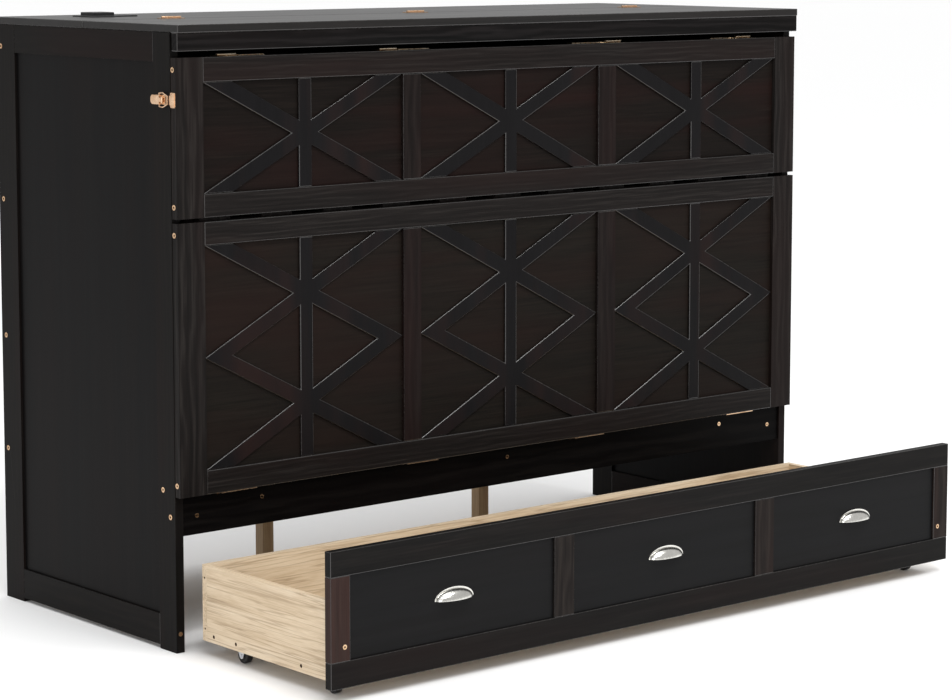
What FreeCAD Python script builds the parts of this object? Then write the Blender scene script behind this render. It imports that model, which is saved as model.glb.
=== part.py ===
import FreeCAD, Part
import math
import os
from FreeCAD import Vector as V

os.makedirs("parts", exist_ok=True)

# ---------------------------------------------------------------- driving dimensions, mm
W = 1640.0            # overall width over the side panels
D = 647.0             # depth of the top, front edge to back edge
H = 1180.0            # height of the top surface
TOP_T = 15.0          # top board thickness
LID_D = 321.0         # depth of the hinged front half of the top
SIDE_T = 18.0         # side panel thickness
SIDE_Y0, SIDE_Y1 = 25.0, 639.0
SIDE_STILE_F = 55.0   # width of the front side stile
SIDE_STILE_R = 67.0   # width of the rear side stile
FRONT_Y0, FRONT_Y1 = 8.0, 24.5    # front panels: face and back
LOW_Z0, LOW_Z1 = 298.4, 813.0     # lower front panel
UP_Z0, UP_Z1 = 821.0, 1119.0      # upper front panel
STILE = 61.0
MULL = ((536.0, 580.0), (1055.0, 1104.0))
LOW_RAIL_B, LOW_RAIL_T = 45.6, 44.0
UP_RAIL_B, UP_RAIL_T = 44.0, 46.0
INSET_Y0, INSET_Y1 = 16.0, 22.0   # recessed inset panels
BAR = 30.0            # lattice bar width
BAR_FACE = 11.0       # lattice bar front face
GROOVE = 5.0          # how far a panel sits in its grooves
AXIS_Y, AXIS_Z = 27.0, 296.0      # bed hinge line
KN_R = 2.4            # hinge knuckle outer radius
PIN_R = 1.30          # hinge pin radius
PIN_CLEAR = 0.05      # running clearance on the radius
LEAF_T = 1.5
PLAT_Y, PLAT_Z = 37.5, 1121.6     # hinge line of the folding slat platform
PLAT_L = 640.0        # length of the folding slat platform
PLAT_X0, PLAT_X1 = 44.0, 1596.0
LID_AX_Y, LID_AX_Z = 322.0, 1182.4
DRAWER_OUT = 460.0    # how far the drawer stands open at rest
DR_Z0, DR_Z1 = 26.4, 274.4
DR_T = 16.5
BOX_X0, BOX_X1 = 30.0, 1610.0
BOX_T = 14.0
BOX_Z0, BOX_Z1 = 30.0, 175.0
BOX_LEN = 417.0
PULL_W, PULL_H, PULL_Z = 85.0, 19.0, 149.0      # cup pulls: width, height and depth, lower edge
WHEEL_R, WHEEL_W, AXLE_R = 15.0, 14.0, 2.5

DR_Y0 = FRONT_Y0 - DRAWER_OUT             # drawer front face
XC = W / 2.0
YC = 85.5                                 # middle of the overall depth, within a few millimetres

# ---------------------------------------------------------------- helpers
# Cabinet coordinates: x from the left side, y from the top's front edge
# towards the back, z from the floor. emit() moves them to the row frame.
def box(x0, x1, y0, y1, z0, z1):
    return Part.makeBox(x1 - x0, y1 - y0, z1 - z0, V(x0, y0, z0))

def cyl(p, d, r, l):
    return Part.makeCylinder(r, l, V(*p), V(*d))

def mirror(s):
    return s.mirror(V(XC, 0, 0), V(1, 0, 0))

def fuse(items):
    items = list(items)
    s = items[0]
    if len(items) > 1:
        s = s.fuse(items[1:])
    return s.removeSplitter()

def comp(items):
    out = []
    for i in items:
        out += i.Solids
    return Part.makeCompound(out)

def cut(s, *tools):
    near = [q for t in tools for q in t.Solids if q.BoundBox.intersect(s.BoundBox)]
    return s.cut(near) if near else s

NODES = {}

def emit(name, shape):
    s = shape.copy()
    s.translate(V(-XC, -YC, 0))
    NODES[name] = s
    s.exportStep("parts/%s.step" % name)

def prism(pts, y0, y1):
    wire = Part.makePolygon([V(x, y0, z) for x, z in pts] + [V(pts[0][0], y0, pts[0][1])])
    return Part.Face(wire).extrude(V(0, y1 - y0, 0))

def edge_round(s, r, pick):
    es = [e for e in s.Edges if pick(e)]
    try:
        return s.makeFillet(r, es) if es else s
    except Exception:
        return s

# ---------------------------------------------------------------- fasteners
# A cap screw: flat head standing 0.8 proud of the wood with a hex recess,
# and a shank that fills its hole.
def screw(p, d, head_r=5.2, shank=10.0, proud=0.8, sink=1.6):
    n = V(*d)
    base = V(*p) - n * sink
    s = Part.makeCylinder(head_r, sink + proud, base, n)
    s = s.fuse(Part.makeCylinder(head_r * 0.4, shank, base, -n)).removeSplitter()
    depth = 0.8 if proud > 0.8 or proud < 0 else proud      # recess never below the wood it sits in
    hexa = Part.makeCylinder(head_r * 0.42, depth + 0.4, V(*p) + n * (proud - depth), n)
    return s.cut(hexa)

cab_screws, front_screws, drawer_screws = [], [], []
for z in (1122.0, 816.0, 540.0, 309.0):
    cab_screws.append(screw((0, 622.5, z), (-1, 0, 0), shank=26.0))
cab_screws.append(screw((0, 63.4, 307.4), (-1, 0, 0), shank=14.0))
cab_screws.append(screw((0, 39.7, 258.5), (-1, 0, 0), shank=26.0))
cab_screws += [mirror(s) for s in cab_screws]
cab_screws.append(screw((9.2, 25, 36.0), (0, -1, 0), head_r=4.4, proud=0.2, sink=2.0))
cab_screws.append(screw((W - 9.2, 25, 36.0), (0, -1, 0), head_r=4.4, proud=0.2, sink=2.0))
for x, z in ((52, 257), (203, 274), (823, 276), (1437, 275), (1588, 257)):
    cab_screws.append(screw((x, 29.4, z), (0, -1, 0), head_r=4.4))
for z in (320.8, 791.0, 843.0, 1097.0):
    s = screw((1.0, 17.6, z), (-1, 0, 0), shank=30.0)
    front_screws += [s, mirror(s)]
for x in (32.0, W - 32.0):
    drawer_screws.append(screw((x, DR_Y0, 101.0), (0, -1, 0), head_r=4.6, shank=30.0))
side_y1 = DR_Y0 + DR_T + BOX_LEN
for y, z in ((-53.6, 42.0), (-124.3, 42.0), (-325.5, 42.0), (side_y1 - 7.0, 53.0), (side_y1 - 7.0, 150.0)):
    rear = y > side_y1 - BOX_T
    s = screw((BOX_X0, y, z), (-1, 0, 0), head_r=2.2 if rear else 3.6, shank=24.0, proud=-0.5, sink=1.6)
    drawer_screws += [s, mirror(s)]

# ---------------------------------------------------------------- side panels
def side_stiles():
    y_in0, y_in1 = SIDE_Y0 + SIDE_STILE_F, SIDE_Y1 - SIDE_STILE_R
    out = []
    for a, b in ((SIDE_Y0, y_in0), (y_in1, SIDE_Y1)):
        out.append(box(0, SIDE_T, a, b, 0, H - TOP_T))
    groove = box(5, 12, y_in0 - GROOVE, y_in1 + GROOVE, 67.0 - GROOVE, 1110.0 + GROOVE)
    return [cut(s, groove) for s in out], groove, (y_in0, y_in1)

stiles, side_groove, (SY0, SY1) = side_stiles()
side_rails = [cut(box(0, SIDE_T, SY0, SY1, 1110, H - TOP_T), side_groove),
              cut(box(0, SIDE_T, SY0, SY1, 7, 67), side_groove)]
side_panel = box(5, 12, SY0 - GROOVE, SY1 + GROOVE, 67.0 - GROOVE, 1110.0 + GROOVE)
cs = comp(cab_screws)
for tag, f in (("left", lambda s: s), ("right", mirror)):
    emit(tag + "_side_stiles", comp([cut(f(s), cs) for s in stiles]))
    emit(tag + "_side_rails", comp([f(s) for s in side_rails]))
    emit(tag + "_side_panel", f(side_panel))

# ---------------------------------------------------------------- inside carcass
XI0, XI1 = SIDE_T, W - SIDE_T
RAIL_TOP = AXIS_Z - KN_R
RAIL_Y0, RAIL_Y1 = AXIS_Y + KN_R, 47.0
emit("front_base_rail", cut(box(XI0, XI1, RAIL_Y0, RAIL_Y1, 221, RAIL_TOP), cs))
rear_up = box(XI0, XI1, 621, 639, 1095, 1165)
for x in (XC - 500.0, XC + 500.0):
    rear_up = rear_up.cut(cyl((x, 600, 1130), (0, 1, 0), 3.5, 60))
rear = [cut(rear_up, cs)]
for a, b in ((240.0, 322.0), (520.0, 560.0), (796.0, 836.0)):
    rear.append(cut(box(XI0, XI1, 615, 633, a, b), cs))
emit("rear_rails", comp(rear))
emit("back_panel", cut(box(XI0, XI1, 633, 639, 222, 1095), cs))
emit("deck_legs", comp([box(XC + s * 298 - 13.5, XC + s * 298 + 13.5, 450.5, 477.5, 0, 240) for s in (-1, 1)]))
cleats = [box(XI0, XI1, 597, 615, 264, 294)]
for a, b in ((RAIL_Y1, 450.0), (478.0, 597.0)):
    c = box(XI0, XI0 + 14, a, b, 264, 322)
    cleats += [c, mirror(c)]
emit("deck_beam_and_cleats", comp([box(XI0, XI1, 450, 478, 240, 294)] + [cut(c, cs) for c in cleats]))
slats = []
n = 16
pitch = (XI1 - XI0 - 34.0) / n
for i in range(n):
    x = XI0 + 17 + pitch * i + (pitch - 64.0) / 2
    slats.append(box(x, x + 64.0, 50.0, 613.0, 294, 306))
emit("deck_slats", comp([cut(s, cs) for s in slats]))

# ---------------------------------------------------------------- top: rear board with outlet unit
OX0, OX1, OY0, OY1 = 120.0, 231.0, 480.0, 546.0
TX0, TX1 = 1.0, W - 1.0
rear_board = box(TX0, TX1, LID_D + 2, D, H - TOP_T, H)
well = box(OX0 + 8, OX1 - 8, OY0 + 8, OY1 - 8, 1120, 1190)
emit("rear_top_board", rear_board.cut(well))
hous = box(OX0, OX1, OY0, OY1, H, H + 2.4)
hous = edge_round(hous, 1.0, lambda e: e.BoundBox.ZMin > H + 2.3)
hous = hous.fuse(box(OX0 + 8, OX1 - 8, OY0 + 8, OY1 - 8, 1128, H)).removeSplitter()
cover = box(OX0 + 14, OX0 + 62, OY0 + 10, OY1 - 8, H + 2.4, H + 9.0)
cover = edge_round(cover, 1.4, lambda e: e.BoundBox.ZMin > H + 8.9)
hous = hous.fuse(cover).removeSplitter()
for i in range(2):       # two charging slots and one round-pin socket pattern
    hous = hous.cut(box(OX0 + 70, OX0 + 83, OY0 + 18 + 18 * i, OY0 + 23.5 + 18 * i, H - 8, H + 6))
for dx, dy in ((-5, -5), (5, -5), (0, 6)):
    hous = hous.cut(cyl((OX0 + 94 + dx * 0.9, OY0 + 33 + dy, H - 10), (0, 0, 1), 2.0, 20))
gland = cyl((OX0 + 55.5, OY1 - 8, 1146), (0, 1, 0), 7.0, 10).fuse(cyl((OX0 + 55.5, OY1 + 2, 1146), (0, 1, 0), 5.0, 8))
hous = hous.fuse(gland).removeSplitter()
hous = hous.cut(cyl((OX0 + 55.5, OY1 - 4, 1146), (0, 1, 0), 3.0, 30))
emit("outlet_housing", hous)

# ---------------------------------------------------------------- hinges
def knuckles(xs, y, z, own, r=KN_R, other=None, pin=False):
    """Knuckle tubes along x over the intervals xs[i]; own says which are on this leaf."""
    out = []
    for i in own:
        out.append(cyl((xs[i] + 0.15, y, z), (1, 0, 0), r, xs[i + 1] - xs[i] - 0.3))
    return out

def hinge_pair(x0, x1, y, z, leaf_a, leaf_b, n=5, r=KN_R, pr=PIN_R):
    """leaf_a carries the outer knuckles and the pin, leaf_b runs on it."""
    xs = [x0 + (x1 - x0) * i / n for i in range(n + 1)]
    a, b = [leaf_a], [leaf_b]
    for i in range(n):
        gap = cyl((xs[i] - (0.15 if i else 1), y, z), (1, 0, 0), r + 0.25, xs[i + 1] - xs[i] + (0.3 if 0 < i < n - 1 else 1.15))
        k = cyl((xs[i] + (0.15 if i else 0), y, z), (1, 0, 0), r, xs[i + 1] - xs[i] - 0.3)
        if i % 2 == 0:
            b = [s.cut(gap) for s in b]
            a.append(k)
        else:
            a = [s.cut(gap) for s in a]
            b.append(k)
    A = fuse(a + [cyl((x0, y, z), (1, 0, 0), pr, x1 - x0)])
    B = fuse(b).cut(cyl((x0 - 2, y, z), (1, 0, 0), pr + PIN_CLEAR, x1 - x0 + 4))
    return A, B

# top seam hinges: leaves on the top surface
la, lb = [], []
for xc in (205.0, 820.0, 1435.0):
    x0, x1 = xc - 22.5, xc + 22.5
    A, B = hinge_pair(x0, x1, LID_AX_Y, LID_AX_Z,
                      box(x0, x1, LID_AX_Y, LID_AX_Y + 15, H, H + 1.3),
                      box(x0, x1, LID_AX_Y - 15, LID_AX_Y, H, H + 1.3))
    la.append(A); lb.append(B)
emit("top_hinge_rear_leaves", comp(la))
emit("top_hinge_lid_leaves", comp(lb))

# bed hinges: leaf on the base rail, leaf under the lower front panel
ba, bb = [], []
for x0, x1 in ((95, 177), (545, 624), (993, 1075), (1440, 1521)):
    A, B = hinge_pair(x0, x1, AXIS_Y, AXIS_Z,
                      box(x0, x1, AXIS_Y, 45.5, AXIS_Z - KN_R, AXIS_Z - KN_R + LEAF_T),
                      box(x0, x1, FRONT_Y0 + 0.6, AXIS_Y, AXIS_Z + KN_R - LEAF_T, AXIS_Z + KN_R))
    ba.append(A); bb.append(B)
emit("base_hinge_rail_leaves", comp(ba))
emit("base_hinge_panel_leaves", comp(bb))

# platform hinges: knuckles at one end only, leaves running on
pa, pb = [], []
PH = ((113.0, 156.0, 228.0), (498.0, 541.0, 630.0), (1012.0 + 87.0, 1142.0, 1012.0), (1414.0 + 70.0, 1527.0, 1414.0))
PK_R = 3.2
LZ0 = PLAT_Z - PK_R - 0.9          # leaves lie below the pin line on both sides
LZ1 = LZ0 + LEAF_T
mort = []
for x0, x1, xe in PH:
    A, B = hinge_pair(x0, x1, PLAT_Y, PLAT_Z,
                      box(x0, x1, 14.0, PLAT_Y, LZ0, LZ1),
                      box(x0, x1, PLAT_Y, 60.0, LZ0, LZ1), n=5, r=PK_R)
    tail = box(min(x0, x1, xe), max(x0, x1, xe), 44.0, 60.0, LZ0, LZ1 + 0.6)
    for k in range(5):
        xk = min(x1, xe) + 8.0 + 14.0 * k if xe > x1 else xe + 8.0 + 14.0 * k
        tail = tail.cut(box(xk, xk + 3.0, 43.0, 50.0, LZ1 - 0.6, LZ1 + 2))
    B = B.fuse(tail).removeSplitter()
    pa.append(A); pb.append(B)
    mort.append(box(x0, x1, 14.0, FRONT_Y1 + 1, LZ0, UP_Z1 + 1))
emit("platform_hinge_panel_leaves", comp(pa))
emit("platform_hinge_leaves", comp(pb))
mortises = comp(mort)

# ---------------------------------------------------------------- lid
emit("front_lid_board", box(TX0, TX1, 0, LID_D, H - TOP_T, H))
emit("lid_fascia", box(TX0, TX1, 2, 20, 1131, H - TOP_T))

# ---------------------------------------------------------------- front panels
PX0, PX1 = 1.0, W - 1.0
BAYS = [(PX0 + STILE, MULL[0][0]), (MULL[0][1], MULL[1][0]), (MULL[1][1], PX1 - STILE)]
fs = comp(front_screws)

def frame_panel(tag, z0, z1, rail_b, rail_t, cells):
    zi0, zi1 = z0 + rail_b, z1 - rail_t
    insets = [box(a - GROOVE, b + GROOVE, INSET_Y0, INSET_Y1, zi0 - GROOVE, zi1 + GROOVE) for a, b in BAYS]
    grooves = comp(insets)
    st = [cut(box(a, b, FRONT_Y0, FRONT_Y1, z0, z1), grooves, fs) for a, b in ((PX0, PX0 + STILE), (PX1 - STILE, PX1))]
    emit(tag + "_stiles", comp(st))
    ra = [cut(box(PX0 + STILE, PX1 - STILE, FRONT_Y0, FRONT_Y1, a, b), grooves, fs, mortises) for a, b in ((z0, zi0), (zi1, z1))]
    emit(tag + "_rails", comp(ra))
    emit(tag + "_mullions", comp([cut(box(a, b, FRONT_Y0, FRONT_Y1, zi0, zi1), grooves) for a, b in MULL]))
    emit(tag + "_inset_panels", comp(insets))
    out = []
    dz = (zi1 - zi0) / cells
    for a, b in BAYS:
        bars = []
        xm = (a + b) / 2
        post = box(xm - BAR / 2, xm + BAR / 2, BAR_FACE, INSET_Y0, zi0, zi1)
        bars.append(post)
        for c in range(cells):
            c0, c1 = zi0 + dz * c, zi0 + dz * (c + 1)
            for xa, xb in ((a, b), (b, a)):
                # a bar from the low corner at xa to the high corner at xb; one
                # edge runs into each corner, the other meets the rail k further in
                sg = 1.0 if xb > xa else -1.0
                L = abs(xb - xa)
                k = 60.0
                for _ in range(40):
                    k = BAR * math.hypot(L - k, dz) / dz
                pts = [(xa, c0), (xa + sg * k, c0), (xb, c1), (xb - sg * k, c1)]
                bars.append(prism(pts, BAR_FACE, INSET_Y0))
        out.append(fuse(bars))
    emit(tag + "_lattice", comp(out))

frame_panel("lower", LOW_Z0, LOW_Z1, LOW_RAIL_B, LOW_RAIL_T, 2)
frame_panel("upper", UP_Z0, UP_Z1, UP_RAIL_B, UP_RAIL_T, 1)
emit("front_panel_screws", fs)

# battens joining the two front panels, also the sleeping surface when open
bat = []
for i in range(11):
    x = 62.0 + (W - 2 * 62.0 - 70.0) * i / 10.0
    bat.append(box(x, x + 70.0, FRONT_Y1, PLAT_Y - 1.0, 312.0, 1108.0))
emit("backing_battens", comp(bat))

# ---------------------------------------------------------------- folding platform
PT, PB = LZ0, LZ0 - PLAT_L
sy0, sy1 = 38.5, 62.0
sl_t = 9.0
emit("platform_side_rails", comp([box(a, b, sy0 + sl_t, sy1, PB, PT) for a, b in ((PLAT_X0, PLAT_X0 + 30), (PLAT_X1 - 30, PLAT_X1))]))
cr = []
for z in (PT - 22.0, (PT + PB) / 2 - 15.0, PB):
    h = 22.0 if z > PT - 30 else 30.0
    cr.append(box(PLAT_X0 + 30, PLAT_X1 - 30, sy0 + sl_t, sy1, z, z + h))
emit("platform_cross_rails", comp(cr))
ps = []
for i in range(11):
    x = 62.0 + (W - 2 * 62.0 - 70.0) * i / 10.0
    ps.append(box(x, x + 70.0, sy0, sy0 + sl_t, PB + 4.0, PT - 6.0))
emit("platform_slats", comp(ps))
# folding legs lie along the platform's inner face
LEG_Z = PB + 24.0
LEG_Y = sy1 + 14.0
LEG_LEN = 0.0
# deployed height of the leg pivot above the floor
deck_top = AXIS_Z + (PLAT_Y - AXIS_Y)
LEG_LEN = deck_top - (LEG_Y - PLAT_Y)
legs, brk = [], []
for xa in (PLAT_X0 + 60.0, PLAT_X1 - 60.0 - 40.0):
    leg = box(xa, xa + 40.0, LEG_Y - 12.0, LEG_Y + 12.0, LEG_Z, LEG_Z + LEG_LEN)
    leg = leg.fuse(cyl((xa, LEG_Y, LEG_Z), (1, 0, 0), 12.0, 40.0)).removeSplitter()
    leg = leg.cut(cyl((xa - 1, LEG_Y, LEG_Z), (1, 0, 0), 4.0 + PIN_CLEAR, 42.0))
    legs.append(leg)
    pin = cyl((xa - 5.0, LEG_Y, LEG_Z), (1, 0, 0), 4.0, 50.0)
    ears = []
    for ex in (xa - 4.0, xa + 40.5):
        e = box(ex, ex + 3.5, sy1, LEG_Y, LEG_Z - 10, LEG_Z + 10).fuse(cyl((ex, LEG_Y, LEG_Z), (1, 0, 0), 10.0, 3.5))
        e = e.fuse(box(ex if ex > xa else ex - 12.0, (ex + 15.5) if ex > xa else ex + 3.5, sy1, sy1 + 1.6, LEG_Z - 10, LEG_Z + 10))
        ears.append(e)
    brk.append(fuse([pin] + ears))
emit("platform_legs", comp(legs))
emit("leg_brackets", comp(brk))

# ---------------------------------------------------------------- drawer
dx0, dx1 = 1.5, W - 1.5
dy0, dy1 = DR_Y0, DR_Y0 + DR_T
RZ0, RZ1 = 75.0, 228.0
DST = 43.0
DM = ((526.0, 575.0), (1060.0, 1112.0))
DB = [(dx0 + DST, DM[0][0]), (DM[0][1], DM[1][0]), (DM[1][1], dx1 - DST)]
dp = [box(a - GROOVE, b + GROOVE, dy0 + 5, dy0 + 12, RZ0 - GROOVE, RZ1 + GROOVE) for a, b in DB]
dg = comp(dp)
ds = comp(drawer_screws)
emit("drawer_front_rails", comp([cut(box(dx0, dx1, dy0, dy1, a, b), dg, ds) for a, b in ((DR_Z0, RZ0), (RZ1, DR_Z1))]))
emit("drawer_front_stiles", comp([cut(box(a, b, dy0, dy1, RZ0, RZ1), dg, ds) for a, b in ((dx0, dx0 + DST), DM[0], DM[1], (dx1 - DST, dx1))]))
emit("drawer_front_panels", dg)
sb = box(BOX_X0, BOX_X0 + BOX_T, dy1, dy1 + BOX_LEN - BOX_T, BOX_Z0, BOX_Z1)
# the heads sit below the surface, so the wells above them are cut too
wells = []
for y in (-53.6, -124.3, -325.5):
    wells += [cyl((BOX_X0 - 1, y, 42.0), (1, 0, 0), 3.6, 2.6), cyl((BOX_X1 + 1, y, 42.0), (-1, 0, 0), 3.6, 2.6)]
rear_wells = []
for z in (53.0, 150.0):
    rear_wells += [cyl((BOX_X0 - 1, side_y1 - 7.0, z), (1, 0, 0), 2.2, 2.6), cyl((BOX_X1 + 1, side_y1 - 7.0, z), (-1, 0, 0), 2.2, 2.6)]
emit("drawer_side_boards", comp([cut(s, ds, comp(wells)) for s in (sb, mirror(sb))]))
emit("drawer_back_board", cut(box(BOX_X0, BOX_X1, dy1 + BOX_LEN - BOX_T, dy1 + BOX_LEN, BOX_Z0, BOX_Z1), ds, comp(rear_wells)))
emit("drawer_bottom", cut(box(BOX_X0 + BOX_T, BOX_X1 - BOX_T, dy1, dy1 + BOX_LEN - BOX_T, 36, 48), ds))
emit("drawer_screws", ds)

# cup pulls: quarter shells of revolution about their long axis, open below
def cup(xc):
    def half_ring(a, r, t):
        o = Part.Ellipse(V(0, 0, 0), a, r)
        i = Part.Ellipse(V(0, 0, 0), a - t, r - t)
        eo = Part.ArcOfEllipse(o, 0, math.pi).toShape()
        ei = Part.ArcOfEllipse(i, 0, math.pi).toShape()
        l1 = Part.makeLine(V(a - t, 0, 0), V(a, 0, 0))
        l2 = Part.makeLine(V(-a + t, 0, 0), V(-a, 0, 0))
        f = Part.Face(Part.Wire(Part.__sortEdges__([eo, l2, ei, l1])))
        f.rotate(V(0, 0, 0), V(1, 0, 0), 90)
        return f
    shell = half_ring(PULL_W / 2, PULL_H, 2.0).revolve(V(0, 0, 0), V(1, 0, 0), 90)
    rim = half_ring(PULL_W / 2 + 3, PULL_H + 3, 6.0).extrude(V(0, -1.6, 0))
    s = shell.fuse(rim).removeSplitter()
    s.translate(V(xc, dy0 + 5, PULL_Z))
    return s
emit("cup_pulls", comp([cup(x) for x in (285.0, 817.0, 1354.0)]))

# rigid casters
forks = []
WX = (60.0, W - 60.0)
WY = (-113.0, -387.0)
k = 0
for y in WY:
    for x in WX:
        plate = box(x - 15, x + 15, y - 20, y + 20, 33.6, 36)
        cheeks = []
        for s in (-1, 1):
            a = x + s * (WHEEL_W / 2 + 1.0)
            b = a + s * 1.8
            lo, hi = min(a, b), max(a, b)
            pts = [(y - 14, 33.6), (y + 14, 33.6), (y + 6, WHEEL_R), (y - 6, WHEEL_R)]
            w = Part.makePolygon([V(lo, p[0], p[1]) for p in pts] + [V(lo, pts[0][0], pts[0][1])])
            c = Part.Face(w).extrude(V(hi - lo, 0, 0)).fuse(cyl((lo, y, WHEEL_R), (1, 0, 0), 6.0, hi - lo))
            cheeks.append(c)
        pin = cyl((x - WHEEL_W / 2 - 4.2, y, WHEEL_R), (1, 0, 0), AXLE_R, WHEEL_W + 8.4)
        forks.append(fuse([plate, pin] + cheeks))
        k += 1
        wheel = cyl((x - WHEEL_W / 2, y, WHEEL_R), (1, 0, 0), WHEEL_R, WHEEL_W)
        wheel = edge_round(wheel, 2.0, lambda e: e.BoundBox.XLength < 0.01)
        for s in (-1, 1):
            dish = cyl((x + s * WHEEL_W / 2 - (1.5 if s > 0 else 0), y, WHEEL_R), (1, 0, 0), 9.5, 1.5)
            dish = dish.cut(cyl((x - 20, y, WHEEL_R), (1, 0, 0), 5.0, 40))
            wheel = wheel.cut(dish)
        emit("caster_wheel_%d" % k, wheel.cut(cyl((x - 20, y, WHEEL_R), (1, 0, 0), AXLE_R + PIN_CLEAR, 40)))
emit("caster_forks", comp(forks))

# ---------------------------------------------------------------- draw latch on the left side
LZ = 1041.0
FX, FY = -4.2, 46.0           # lever pivot
BX, BY = -4.6, 54.0           # bail pivot on the lever
base = box(-1.4, 0, 38, 70, LZ - 9, LZ + 9)
ears = []
for a, b in ((LZ - 6.0, LZ - 4.2), (LZ + 4.2, LZ + 6.0)):
    ears.append(box(FX, 0, FY - 2.4, FY + 2.4, a, b).fuse(cyl((FX, FY, a), (0, 0, 1), 2.4, b - a)))
latch_base = fuse([base, cyl((FX, FY, LZ - 6.6), (0, 0, 1), 1.0, 13.2)] + ears)
hub = cyl((FX, FY, LZ - 4.0), (0, 0, 1), 2.3, 8.0)
arm = box(-6.4, -3.2, FY, 52.5, LZ - 4.0, LZ + 4.0)
lug = box(-6.6, -2.6, 51.9, 56.1, LZ - 8.6, LZ + 8.6)
pad = box(-6.6, -5.3, 55.0, 80.0, LZ - 8.6, LZ + 8.6)
pad = edge_round(pad, 7.0, lambda e: e.BoundBox.YMin > 79.9 and e.BoundBox.XLength > 1.0 and e.BoundBox.ZLength < 0.01)
lever = fuse([hub, arm, lug, pad]).cut(cyl((FX, FY, LZ - 10), (0, 0, 1), 1.0 + PIN_CLEAR, 20))
lever = lever.cut(cyl((BX, BY, LZ - 10), (0, 0, 1), 1.0 + PIN_CLEAR, 20))
wr = 1.0                      # bail wire radius at its pivot
wr2 = 1.25                    # and along the loop
bar_y = 27.8
pts = [(BY, 2.5), (BY, 12.2), (BY - 8, 13.2), (bar_y + 14, 13.2), (bar_y, 7.5)]
bail = [cyl((BX, bar_y, LZ - 7.5), (0, 0, 1), wr2, 15.0)]
for sg in (-1, 1):
    P3 = [V(BX, y, LZ + sg * z) for y, z in pts]
    for q, (a, b) in enumerate(zip(P3, P3[1:])):
        rr = wr if q == 0 else wr2
        bail.append(Part.makeCylinder(rr, (b - a).Length, a, b - a))
        if q:
            bail.append(Part.makeSphere(wr2, a))
    bail.append(Part.makeSphere(wr2, P3[-1]))
bail = fuse(bail)
strike = box(-0.4, 1.0, 9.0, 24.4, LZ - 14, LZ + 14)
strike = edge_round(strike, 3.0, lambda e: e.BoundBox.XLength > 1.0 and e.BoundBox.YLength < 0.01 and e.BoundBox.ZLength < 0.01)
hook = box(-3.0, -0.3, 20.0, 24.4, LZ - 8.0, LZ + 8.0)
lip = box(-6.4, -0.3, 10.0, 20.0, LZ - 12.0, LZ + 12.0)
lip = lip.cut(cyl((-7.0, 22.5, LZ - 40), (0, 0, 1), 6.0, 80))     # hollow that takes the bail bar
for sg in (-1, 1):           # waisted lip, narrow in the middle of its depth
    lip = lip.cut(cyl((-8.0, 15.0, LZ + sg * 15.5), (1, 0, 0), 6.0, 12))
strike = fuse([strike, hook, lip])
emit("latch_base", latch_base)
emit("latch_lever", lever)
emit("latch_bail", bail)
emit("latch_strike", strike)
emit("cabinet_screws", cs)

allc = Part.makeCompound(list(NODES.values()))
bb = allc.BoundBox
print("nodes", len(NODES), "box", [round(v, 2) for v in (bb.XMin, bb.XMax, bb.YMin, bb.YMax, bb.ZMin, bb.ZMax)], "YC", YC, "LEG_LEN", LEG_LEN)
bad = [n for n, s in NODES.items() if not s.isValid() or not s.Solids]
print("bad", bad)
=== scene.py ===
import bpy, bmesh, math
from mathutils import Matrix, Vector

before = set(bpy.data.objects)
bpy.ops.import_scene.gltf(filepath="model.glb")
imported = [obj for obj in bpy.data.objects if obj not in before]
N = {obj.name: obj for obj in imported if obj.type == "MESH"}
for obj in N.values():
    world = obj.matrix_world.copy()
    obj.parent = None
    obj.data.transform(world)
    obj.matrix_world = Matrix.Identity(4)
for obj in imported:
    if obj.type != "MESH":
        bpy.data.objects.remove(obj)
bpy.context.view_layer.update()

# ------------------------------------------------------------------ camera
cam_d = bpy.data.cameras.new("camera")
cam = bpy.data.objects.new("camera", cam_d)
bpy.context.scene.collection.objects.link(cam)
cam.location = (-3.75388, -4.41069, 1.35358)
cam.rotation_euler = (math.radians(90 - 6.5448), 0, -math.radians(40.1517))
cam_d.sensor_width = 36.0
cam_d.lens = 107.316
cam_d.shift_y = -0.10
cam_d.clip_start, cam_d.clip_end = 0.05, 100
bpy.context.scene.camera = cam

# ------------------------------------------------------------------ node helpers
def srgb(r, g, b):
    f = lambda c: (c / 12.92) if c <= 0.04045 else ((c + 0.055) / 1.055) ** 2.4
    return (f(r / 255), f(g / 255), f(b / 255), 1.0)

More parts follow.
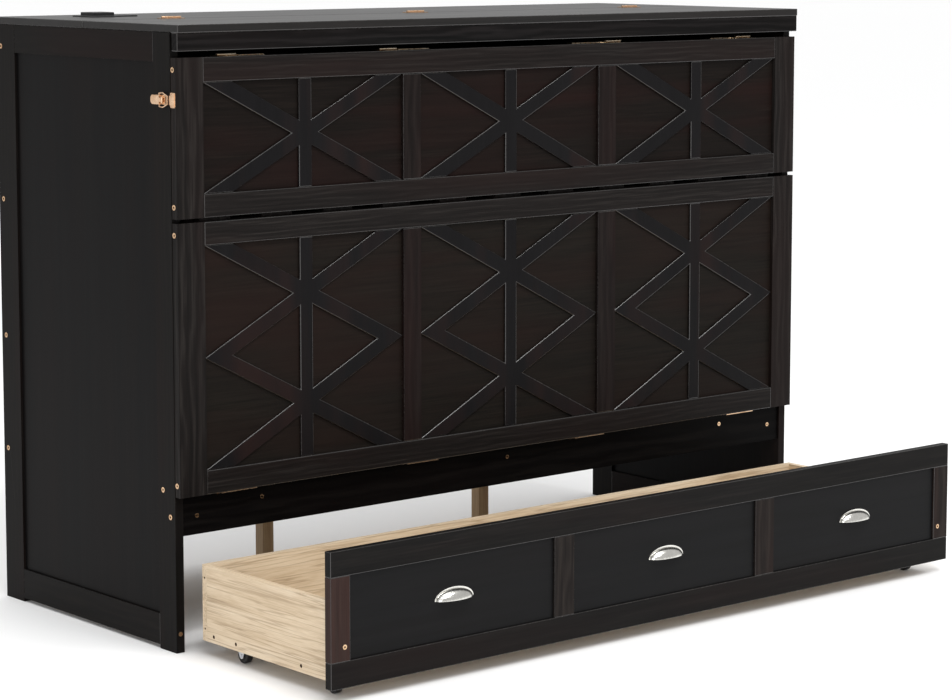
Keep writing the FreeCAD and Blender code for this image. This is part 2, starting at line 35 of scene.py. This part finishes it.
class Mat:
    def __init__(self, name):
        self.m = bpy.data.materials.new(name)
        self.m.use_nodes = True
        self.nt = self.m.node_tree
        self.b = self.nt.nodes["Principled BSDF"]

    def n(self, kind, **kw):
        x = self.nt.nodes.new(kind)
        for k, v in kw.items():
            setattr(x, k, v)
        return x

    def link(self, a, b):
        self.nt.links.new(a, b)

    def coords(self, scale, offset=(0, 0, 0), rot=(0, 0, 0)):
        tc = self.n("ShaderNodeTexCoord")
        mp = self.n("ShaderNodeMapping")
        mp.inputs["Scale"].default_value = scale
        mp.inputs["Location"].default_value = offset
        mp.inputs["Rotation"].default_value = rot
        self.link(tc.outputs["Object"], mp.inputs["Vector"])
        return mp.outputs["Vector"]

    def noise(self, vec, scale=1.0, detail=4.0, rough=0.55, dist=0.0):
        x = self.n("ShaderNodeTexNoise")
        x.inputs["Scale"].default_value = scale
        x.inputs["Detail"].default_value = detail
        x.inputs["Roughness"].default_value = rough
        x.inputs["Distortion"].default_value = dist
        self.link(vec, x.inputs["Vector"])
        return x.outputs["Fac"]

    def ramp(self, fac, stops):
        r = self.n("ShaderNodeValToRGB")
        el = r.color_ramp.elements
        while len(el) < len(stops):
            el.new(0.5)
        for e, (p, c) in zip(el, stops):
            e.position = p
            e.color = c if len(c) == 4 else (*c, 1.0)
        self.link(fac, r.inputs["Fac"])
        return r.outputs["Color"]

    def gray(self, fac, a, b, lo=0.0, hi=1.0):
        mr = self.n("ShaderNodeMapRange")
        mr.inputs["From Min"].default_value = a
        mr.inputs["From Max"].default_value = b
        mr.inputs["To Min"].default_value = lo
        mr.inputs["To Max"].default_value = hi
        self.link(fac, mr.inputs["Value"])
        return mr.outputs["Result"]

    def mix(self, fac, a, b, mode="MIX"):
        x = self.n("ShaderNodeMix", data_type="RGBA", blend_type=mode)
        for sock, v in (("Factor", fac), ("A", a), ("B", b)):
            s = [i for i in x.inputs if i.name == sock and (i.type == ("VALUE" if sock == "Factor" else "RGBA"))][0]
            if isinstance(v, (tuple, list)):
                s.default_value = v
            elif isinstance(v, (int, float)):
                s.default_value = v
            else:
                self.link(v, s)
        return [o for o in x.outputs if o.type == "RGBA"][0]

    def math(self, op, a, b=0.0):
        x = self.n("ShaderNodeMath", operation=op)
        for i, v in enumerate((a, b)):
            if isinstance(v, (int, float)):
                x.inputs[i].default_value = v
            else:
                self.link(v, x.inputs[i])
        return x.outputs[0]

    def bump(self, height, strength=0.2, dist=0.0005):
        x = self.n("ShaderNodeBump")
        x.inputs["Strength"].default_value = strength
        x.inputs["Distance"].default_value = dist
        self.link(height, x.inputs["Height"])
        self.link(x.outputs["Normal"], self.b.inputs["Normal"])

def aniso(axis, along, across):
    return tuple(along if a == axis else across for a in "XYZ")

# ------------------------------------------------------------------ woods
def stained(name, axis, dark, mid, lite, warm, warm_amt=0.5, rough=(0.36, 0.5), bump=0.2, seed=0.0, spec=0.06,
            fine=0.35, arch=0.25, pitch=46.0, lift=None, seam_shadow=None):
    """Dark stained pine: fine pores, long growth bands that wander, arched rings, warm streaks where the stain is thin."""
    m = Mat(name)
    off = (seed, seed * 1.7, seed * 0.6)
    warp = m.noise(m.coords(aniso(axis, 1.6, 5.5), off), 1.0, 2.0)
    pores = m.noise(m.coords(aniso(axis, 9.0, 420.0), off), 1.0, 3.0, 0.6)
    bands = m.noise(m.coords(aniso(axis, 1.4, pitch), off), 1.0, 5.0, 0.62, 0.5)
    streak = m.noise(m.coords(aniso(axis, 1.1, 15.0), off), 1.0, 3.0, 0.5, 0.3)
    # growth rings seen on the face, pulled into long arches
    wv = m.n("ShaderNodeTexWave", wave_type="RINGS", rings_direction=axis, wave_profile="SIN")
    m.link(m.coords(aniso(axis, 0.13, 1.0), off), wv.inputs["Vector"])
    wv.inputs["Scale"].default_value = 30.0
    wv.inputs["Distortion"].default_value = 8.0
    wv.inputs["Detail"].default_value = 2.5
    wv.inputs["Detail Scale"].default_value = 1.2
    g = m.math("ADD", m.math("MULTIPLY", bands, 1.0 - fine - arch), m.math("MULTIPLY", wv.outputs["Fac"], arch))
    g = m.math("ADD", g, m.math("MULTIPLY", pores, fine))
    base = m.ramp(g, [(0.36, dark), (0.52, mid), (0.70, lite)])
    w = m.gray(m.math("ADD", m.math("MULTIPLY", streak, 0.45), m.math("MULTIPLY", warp, 0.55)), 0.46, 0.64, 0.0, warm_amt)
    col = m.mix(w, base, warm)
    if lift is not None:          # one board of the set took less stain: (axis, from, to, colour, amount)
        sep = m.n("ShaderNodeSeparateXYZ")
        m.link(m.coords((1, 1, 1)), sep.inputs["Vector"])
        f = m.gray(sep.outputs[lift[0]], lift[1], lift[2], 0.0, lift[4])
        f = m.math("MULTIPLY", f, m.gray(bands, 0.35, 0.62, 0.45, 1.0))
        col = m.mix(f, col, lift[3])
    m.link(m.gray(m.math("ADD", m.math("MULTIPLY", bands, 0.5), m.math("MULTIPLY", pores, 0.5)), 0.3, 0.7, rough[0], rough[1]), m.b.inputs["Roughness"])
    m.bump(m.math("ADD", m.math("MULTIPLY", pores, 0.6), m.math("MULTIPLY", bands, 0.5)), bump, 0.0004)
    m.b.inputs["Specular IOR Level"].default_value = spec
    if seam_shadow is not None:          # painted shadow: a near-black line with no specular along the joint between the two top boards, standing in for the shade in the unmodelled gap
        sep = m.n("ShaderNodeSeparateXYZ")
        m.link(m.coords((1, 1, 1)), sep.inputs["Vector"])
        d = m.math("ABSOLUTE", m.math("SUBTRACT", sep.outputs[seam_shadow[0]], seam_shadow[1]))
        k = m.gray(d, 0.0025, 0.0045, 0.0, 1.0)
        col = m.mix(k, srgb(3, 3, 3), col)
        m.link(m.gray(d, 0.0025, 0.0045, 0.0, spec), m.b.inputs["Specular IOR Level"])
    m.link(col, m.b.inputs["Base Color"])
    return m.m

def worn_edge_painted_highlight(name, axis):
    """Eased edge: the stain is rubbed thinner in places, so it is a little lighter and glossier; the lighter base
    colour is also partly a painted highlight for the light the rounded edge catches.
    """
    m = Mat(name)
    a = m.noise(m.coords((60, 60, 60)), 1.0, 3.0, 0.6)
    b = m.noise(m.coords((7, 7, 7), (3, 1, 2)), 1.0, 2.0, 0.5)
    f = m.gray(m.math("ADD", m.math("MULTIPLY", a, 0.4), m.math("MULTIPLY", b, 0.6)), 0.40, 0.62)
    # lighter mix on the edge: rubbed stain and painted highlight
    m.link(m.mix(f, srgb(20, 18, 17), srgb(34, 30, 28)), m.b.inputs["Base Color"])
    m.link(m.gray(a, 0.3, 0.7, 0.2, 0.32), m.b.inputs["Roughness"])
    m.b.inputs["Specular IOR Level"].default_value = 0.8
    m.bump(a, 0.15, 0.0002)
    return m.m

LID_SEAM = (322.0 - 85.5) / 1000      # joint of the two top boards
D0, M0, L0, W0 = srgb(18, 16, 15), srgb(25, 22, 21), srgb(40, 37, 35), srgb(31, 21, 19)
WOOD = {}
for ax in "XYZ":
    WOOD[ax] = stained("espresso_" + ax, ax, D0, M0, L0, W0, 0.5, seed={"X": 0.0, "Y": 3.1, "Z": 6.4}[ax],
                       fine=0.5, arch={"X": 0.12, "Y": 0.1, "Z": 0.2}[ax], pitch=60.0)
# Painted shade: darker copy of the espresso stain on the side frames, so the side faces read as shaded.
SIDEW_SHADED = {ax: stained("espresso_side_" + ax, ax, srgb(13, 12, 11), srgb(18, 16, 15), srgb(27, 24, 22), srgb(27, 15, 13), 0.5,
                     seed={"Y": 5.1, "Z": 8.4}[ax], spec=0.05, fine=0.5, arch=0.12, pitch=60.0) for ax in "YZ"}
# Painted shade: near-black copy of the stain on the recessed base rail, standing in for the shade it sits in; low
# specular too.
BASER_SHADED = stained("espresso_base", "X", srgb(6, 5, 5), srgb(9, 8, 8), srgb(15, 13, 12), srgb(14, 10, 9), 0.4, seed=1.4, spec=0.03)
FASCIA = stained("espresso_fascia", "X", srgb(8, 8, 8), srgb(15, 14, 14), srgb(26, 24, 24), srgb(20, 15, 14), 0.4, seed=1.9, spec=0.05)
MULLION = stained("espresso_mullion", "Z", srgb(17, 13, 12), srgb(24, 19, 18), srgb(34, 29, 27), srgb(36, 20, 18), 0.6, seed=9.2,
                  fine=0.5, arch=0.15, pitch=60.0)
DRAIL = stained("espresso_drawer_rail", "X", srgb(15, 14, 14), srgb(21, 20, 19), srgb(31, 28, 27), srgb(30, 20, 18), 0.4, seed=11.3,
                fine=0.5, arch=0.08, pitch=60.0)
DSTILE = stained("espresso_drawer_stile", "Z", srgb(22, 19, 18), srgb(32, 28, 26), srgb(44, 39, 36), srgb(42, 27, 24), 0.6, seed=9.9,
                 fine=0.5, arch=0.18, pitch=60.0, lift=("X", -0.66, -0.70, srgb(58, 40, 36), 0.7))
INSET = {p: stained("espresso_inset_" + p, "X", c[0], c[1], c[2], c[3], c[4], rough=(0.42, 0.58), seed=sd, fine=0.7, arch=0.04,
                    pitch=120.0, spec=0.05)
         for p, c, sd in (("upper", (srgb(14, 11, 9), srgb(19, 15, 13), srgb(26, 21, 18), srgb(32, 16, 14), 0.6), 12.7),
                          ("lower", (srgb(17, 15, 13), srgb(24, 21, 18), srgb(30, 26, 23), srgb(33, 20, 17), 0.5), 15.1))}
# Painted shade: the side panels get a darker copy of the stain than the front panels, so the left side and the inner
# face of the right side read as shaded.
SIDE = stained("espresso_side_panel_shaded", "Z", srgb(9, 8, 9), srgb(14, 13, 13), srgb(21, 19, 19), srgb(20, 14, 12), 0.4,
               rough=(0.36, 0.44), bump=0.1, seed=4.0, spec=0.05, arch=0.05)
DPANEL = stained("espresso_drawer_panel", "X", srgb(15, 15, 15), srgb(18, 18, 19), srgb(21, 21, 21), srgb(22, 18, 17), 0.25,
                 rough=(0.38, 0.44), bump=0.08, seed=5.5, spec=0.08, arch=0.04)
TOP = stained("espresso_top", "X", srgb(15, 14, 13), srgb(22, 20, 19), srgb(30, 27, 26), srgb(27, 20, 18), 0.3, rough=(0.27, 0.37),
              bump=0.06, seed=7.7, spec=0.22, fine=0.5, arch=0.05, pitch=30.0, seam_shadow=("Y", LID_SEAM))
LATT = stained("espresso_lattice", "Z", srgb(15, 14, 15), srgb(18, 17, 18), srgb(22, 21, 22), srgb(34, 22, 20), 0.8,
               rough=(0.36, 0.46), bump=0.08, seed=2.3, spec=0.06, fine=0.45, arch=0.0, pitch=12.0)
EDGE = worn_edge_painted_highlight("worn_edge_painted_highlight", "Z")

def light_wood(name, axis, cols, dash=0.5, rough=(0.5, 0.62), seed=0.0, bump=0.15, bandscale=30.0, dashscale=210.0):
    """Pale board: broad soft bands, thin dark grain lines that wander together, and fine pores."""
    m = Mat(name)
    off = (seed, seed * 2.0, seed)
    wand = m.noise(m.coords(aniso(axis, 2.2, 5.0), off), 1.0, 2.0, 0.5)
    bands = m.noise(m.coords(aniso(axis, 2.4, bandscale), off), 1.0, 5.0, 0.6, 0.7)
    fine = m.noise(m.coords(aniso(axis, 30.0, 640.0), off), 1.0, 2.0, 0.6)
    dashes = m.noise(m.coords(aniso(axis, 2.2, dashscale * 1.3), off), 1.0, 3.0, 0.6)
    lines = m.noise(m.coords(aniso(axis, 1.3, dashscale * 0.22), off), 1.0, 3.0, 0.55, 0.2)
    g = m.math("ADD", m.math("MULTIPLY", bands, 0.6), m.math("MULTIPLY", fine, 0.4))
    col = m.ramp(g, [(0.34, cols[0]), (0.5, cols[1]), (0.66, cols[2])])
    d = m.math("ADD", m.gray(dashes, 0.54, 0.68, 0.0, dash * 0.55), m.gray(m.math("ABSOLUTE", m.math("SUBTRACT", m.math("FRACT", m.math("MULTIPLY", lines, 7.0)), 0.5)), 0.0, 0.16, dash * 0.9, 0.0))
    col = m.mix(d, col, cols[3])
    col = m.mix(m.gray(wand, 0.35, 0.7, 0.0, 0.25), col, cols[0])
    m.link(col, m.b.inputs["Base Color"])
    m.link(m.gray(fine, 0.3, 0.7, rough[0], rough[1]), m.b.inputs["Roughness"])
    m.bump(m.math("ADD", m.math("MULTIPLY", fine, 0.5), m.math("MULTIPLY", dashes, 0.5)), bump, 0.0003)
    m.b.inputs["Specular IOR Level"].default_value = 0.35
    return m.m

OAK = {a: light_wood("oak_laminate_" + a, a, [srgb(192, 170, 140), srgb(212, 192, 164), srgb(224, 208, 184), srgb(142, 118, 90)], 0.6, seed=1.0) for a in "XY"}
PINE = {a: light_wood("raw_pine_" + a, a, [srgb(168, 138, 104), srgb(190, 163, 128), srgb(205, 181, 146), srgb(138, 104, 72)], 0.35, seed=2.0, bandscale=60.0) for a in "XYZ"}

# ------------------------------------------------------------------ metals, plastic, rubber
def metal(name, c0, c1, rough=(0.25, 0.4), axis="X", brush=(6, 300), bump=0.08, smear=0.3):
    m = Mat(name)
    br = m.noise(m.coords(aniso(axis, brush[0], brush[1])), 1.0, 3.0, 0.6)
    sp = m.noise(m.coords((45, 45, 45), (1, 2, 3)), 1.0, 3.0, 0.6)
    m.link(m.mix(m.gray(sp, 0.35, 0.65, 0, 1), c0, c1), m.b.inputs["Base Color"])
    m.b.inputs["Metallic"].default_value = 1.0
    m.link(m.gray(m.math("ADD", m.math("MULTIPLY", br, 1 - smear), m.math("MULTIPLY", sp, smear)), 0.35, 0.65, rough[0], rough[1]), m.b.inputs["Roughness"])
    m.bump(br, bump, 0.0001)
    return m.m

def paint_socket_shade(m, axis, lo, hi, col):
    """Paints a dark colour (painted shade) on what lies between two distances from the middle plane, such as the floor
    of a screw's socket.
    """
    sep = m.n("ShaderNodeSeparateXYZ")
    m.link(m.coords((1, 1, 1)), sep.inputs["Vector"])
    d = m.math("ABSOLUTE", sep.outputs[axis])
    f = m.math("MULTIPLY", m.math("GREATER_THAN", d, lo), m.math("LESS_THAN", d, hi))
    old = m.b.inputs["Base Color"].links[0].from_socket
    m.link(m.mix(f, old, col), m.b.inputs["Base Color"])

BRASS = metal("brass", srgb(232, 198, 166), srgb(206, 168, 134), (0.22, 0.36))
BRASS_S = {}
# Painted shade: each band below paints dark brass on a screw socket's floor for the shade in the recess; the drawer's
# |y| < 0.45 band paints its sunk side screws whole in that dark colour.
for k, bands in (("cabinet", (("X", 0.8197, 0.8203), ("Y", 0.0558, 0.0564))), ("front_panel", (("X", 0.8187, 0.8193),)),
                 ("drawer", (("Y", 0.0, 0.45), ("Y", 0.5373, 0.5377)))):
    metal("screws_" + k, srgb(222, 188, 152), srgb(186, 150, 114), (0.2, 0.34), bump=0.05)
    mm = Mat.__new__(Mat)
    mm.m = bpy.data.materials["screws_" + k]
    mm.nt, mm.b = mm.m.node_tree, mm.m.node_tree.nodes["Principled BSDF"]
    for a, lo, hi in bands:
        paint_socket_shade(mm, a, lo, hi, srgb(62, 46, 34))
    BRASS_S[k] = mm.m
PALE_BRASS = metal("pale_brass", srgb(240, 222, 198), srgb(216, 192, 162), (0.22, 0.36))
NICKEL = metal("satin_nickel", srgb(228, 226, 220), srgb(208, 206, 200), (0.16, 0.26), brush=(14, 600))
ZINC = metal("zinc_steel", srgb(214, 217, 222), srgb(190, 193, 198), (0.3, 0.45))

def polymer(name, c0, c1, rough, scale, bump, spec=0.4):
    m = Mat(name)
    a = m.noise(m.coords((scale, scale, scale)), 1.0, 4.0, 0.6)
    b = m.noise(m.coords((18, 18, 18), (2, 0, 1)), 1.0, 3.0, 0.5)
    m.link(m.mix(m.gray(b, 0.35, 0.65), c0, c1), m.b.inputs["Base Color"])
    m.link(m.gray(a, 0.3, 0.7, rough[0], rough[1]), m.b.inputs["Roughness"])
    m.b.inputs["Specular IOR Level"].default_value = spec
    m.bump(a, bump, 0.00015)
    return m.m

BLACK = polymer("black_plastic", srgb(17, 17, 18), srgb(24, 24, 25), (0.35, 0.5), 900, 0.25)
RUBBER = polymer("black_rubber", srgb(18, 18, 19), srgb(30, 30, 31), (0.45, 0.65), 500, 0.3)

# ------------------------------------------------------------------ materials and eased edges on the CAD nodes
def dress(name, mat, bevel=0.0, edge=None, seg=2, smooth=False):
    o = N[name]
    if not o.data.materials:
        o.data.materials.append(mat)
    else:
        for s in o.material_slots:
            s.material = mat
    w = o.modifiers.new("weld", "WELD")
    w.merge_threshold = 0.00002
    if bevel:
        b = o.modifiers.new("eased", "BEVEL")
        b.width = bevel
        b.segments = seg
        b.limit_method = "ANGLE"
        b.angle_limit = math.radians(35)
        b.harden_normals = False
        if edge is not None:
            while len(o.data.materials) < 2:
                o.data.materials.append(edge)
            o.material_slots[1].material = edge
            b.material = 1

for s in ("left", "right"):
    dress(s + "_side_stiles", SIDEW_SHADED["Z"], 0.0016, EDGE, 3)
    dress(s + "_side_rails", SIDEW_SHADED["Y"], 0.0008, EDGE)
    dress(s + "_side_panel", SIDE)
for p in ("upper", "lower"):
    dress(p + "_stiles", WOOD["Z"], 0.0016, EDGE, 3)
    dress(p + "_rails", WOOD["X"], 0.0016, EDGE, 3)
    dress(p + "_mullions", MULLION, 0.0016, EDGE, 3)
    dress(p + "_inset_panels", INSET[p])
    dress(p + "_lattice", LATT, 0.0015, EDGE, 3)
dress("front_lid_board", TOP, 0.0015, EDGE)
dress("rear_top_board", TOP, 0.0015, EDGE)
dress("lid_fascia", FASCIA, 0.0012, EDGE)
dress("front_base_rail", BASER_SHADED, 0.0008, EDGE)
dress("rear_rails", FASCIA, 0.0010, EDGE)
dress("back_panel", DPANEL)
dress("drawer_front_rails", DRAIL, 0.0011, EDGE)
dress("drawer_front_stiles", DSTILE, 0.0008, EDGE)
dress("drawer_front_panels", DPANEL)
dress("drawer_side_boards", OAK["Y"], 0.0006)
dress("drawer_back_board", OAK["X"], 0.0006)
dress("drawer_bottom", OAK["X"], 0.0006)
dress("deck_legs", PINE["Z"], 0.0010)
dress("platform_legs", PINE["Z"], 0.0010)
dress("deck_slats", PINE["Y"], 0.0008)
dress("deck_beam_and_cleats", PINE["X"], 0.0008)
dress("backing_battens", WOOD["Z"], 0.0008)
dress("platform_slats", WOOD["Z"], 0.0008)
dress("platform_side_rails", WOOD["Z"], 0.0008)
dress("platform_cross_rails", WOOD["X"], 0.0008)
for n in N:
    if "platform_hinge" in n:
        dress(n, PALE_BRASS, 0.0004)
    elif "hinge" in n or "latch" in n:
        dress(n, BRASS, 0.0003 if "latch" in n else 0.0)
for n in ("cabinet", "front_panel", "drawer"):
    dress(n + "_screws", BRASS_S[n], 0.0005)
dress("cup_pulls", NICKEL)
dress("caster_forks", ZINC)
dress("leg_brackets", ZINC)
for i in (1, 2, 3, 4):
    dress("caster_wheel_%d" % i, RUBBER)
dress("outlet_housing", BLACK)

# ------------------------------------------------------------------ floor, world, light
fl = bpy.data.meshes.new("floor")
bm = bmesh.new()
bmesh.ops.create_grid(bm, x_segments=1, y_segments=1, size=400.0)
bm.to_mesh(fl); bm.free()
floor = bpy.data.objects.new("floor", fl)
bpy.context.scene.collection.objects.link(floor)
floor.location = (0, 0, -0.0004)
mf = Mat("floor")
mf.b.inputs["Base Color"].default_value = (0.93, 0.93, 0.93, 1)
mf.b.inputs["Roughness"].default_value = 0.9
fl.materials.append(mf.m)

w = bpy.data.worlds.new("world")
bpy.context.scene.world = w
w.use_nodes = True
w.node_tree.nodes["Background"].inputs[0].default_value = (1.0, 1.0, 1.0, 1)
w.node_tree.nodes["Background"].inputs[1].default_value = 0.62

def area(name, loc, target, size, power, sy=None):
    d = bpy.data.lights.new(name, "AREA")
    d.shape = "RECTANGLE"
    d.size, d.size_y = size, sy or size
    d.energy = power
    o = bpy.data.objects.new(name, d)
    bpy.context.scene.collection.objects.link(o)
    o.location = loc
    o.rotation_euler = (Vector(target) - Vector(loc)).to_track_quat("-Z", "Y").to_euler()
    return o

def sun(name, az, el, strength, angle):
    """Soft sun from that azimuth (0 is the front, -90 the left) and elevation."""
    d = bpy.data.lights.new(name, "SUN")
    d.energy, d.angle = strength, math.radians(angle)
    o = bpy.data.objects.new(name, d)
    bpy.context.scene.collection.objects.link(o)
    a, e = math.radians(az), math.radians(el)
    to = Vector((math.sin(a) * math.cos(e), -math.cos(a) * math.cos(e), math.sin(e)))
    o.rotation_euler = to.to_track_quat("Z", "Y").to_euler()
    return o

def softbox(name, az, el, dist, size, radiance):
    a, e = math.radians(az), math.radians(el)
    to = Vector((math.sin(a) * math.cos(e), -math.cos(a) * math.cos(e), math.sin(e)))
    return area(name, tuple(to * dist + Vector((0, -0.2, 0.55))), (0, -0.2, 0.55), size[0], radiance * math.pi * size[0] * size[1], size[1])

sun("key", -32, 50, 0.7, 18)
sun("top", 150, 78, 0.95, 45)
softbox("front_box", -14, 42, 5.5, (3.4, 2.0), 3.4)
softbox("overhead_strip", 6, 60, 4.6, (2.6, 0.8), 13.0)
softbox("left_strip", -50, 9, 8.5, (3.2, 2.2), 4.5)

bpy.context.scene.view_settings.view_transform = "Standard"
